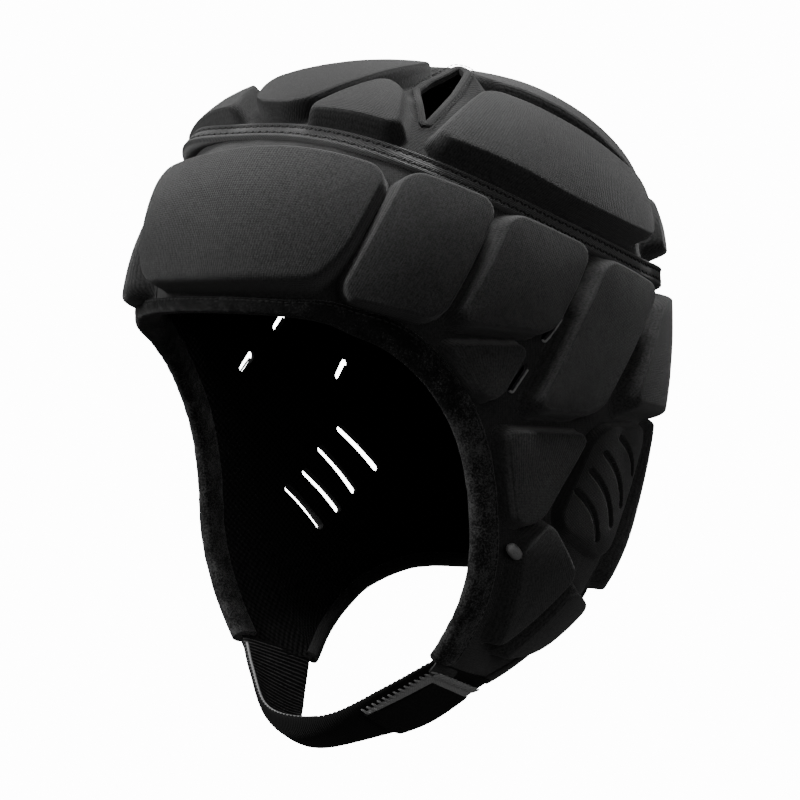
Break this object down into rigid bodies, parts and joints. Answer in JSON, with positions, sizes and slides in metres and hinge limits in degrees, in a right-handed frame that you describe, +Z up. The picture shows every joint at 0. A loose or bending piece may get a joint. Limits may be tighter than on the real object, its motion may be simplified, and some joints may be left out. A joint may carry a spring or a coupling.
{
  "type": "padded head guard",
  "caption": "Soft padded head guard with a taped crown seam, foam pads over brow, crown, sides and nape, slotted ear covers, bound face opening and a chin strap.",
  "frame": {"origin": "middle of the head hollow, level with the foot of the dome and a little above the brow edge", "axes": "+Z up, -Y towards the face, +X towards the wearer's left"},
  "size_m": [0.1762, 0.2149, 0.2573],
  "materials": {
    "shell_cloth": "matt knit",
    "pad_cloth": "brushed ribbed knit over foam",
    "tape": "woven tape with zigzag stitching",
    "velour": "velour",
    "webbing": "ribbed webbing",
    "patch_cloth": "grey edging on loop cloth"
  },
  "bodies": {
    "root": {"crown_panel": "shell_cloth", "side_panel": "shell_cloth", "crown_tape": "tape", "face_binding": "velour", "hem_binding": "shell_cloth", "vent_rim_l": "shell_cloth", "vent_rim_r": "shell_cloth", "brow_pad": "pad_cloth", "crown_front_pad": "pad_cloth", "crown_back_pad": "pad_cloth", "temple_pad_l": "pad_cloth", "temple_pad_r": "pad_cloth", "side_pad_l": "pad_cloth", "side_pad_r": "pad_cloth", "rear_side_pad_l": "pad_cloth", "rear_side_pad_r": "pad_cloth", "back_pad_l": "pad_cloth", "back_pad_r": "pad_cloth", "temple_wedge_l": "pad_cloth", "temple_wedge_r": "pad_cloth", "ear_wedge_l": "pad_cloth", "ear_wedge_r": "pad_cloth", "cheek_pad_upper_l": "pad_cloth", "cheek_pad_upper_r": "pad_cloth", "cheek_pad_lower_l": "pad_cloth", "cheek_pad_lower_r": "pad_cloth", "nape_pad_l": "pad_cloth", "nape_pad_r": "pad_cloth", "crown_wedge_l": "pad_cloth", "crown_wedge_r": "pad_cloth", "crown_side_pad_l": "pad_cloth", "crown_side_pad_r": "pad_cloth", "crown_rear_pad_l": "pad_cloth", "crown_rear_pad_r": "pad_cloth", "ear_cover_l": "pad_cloth", "ear_cover_r": "pad_cloth", "chin_strap": "webbing", "strap_patch": "patch_cloth"}
  },
  "joints": []
}
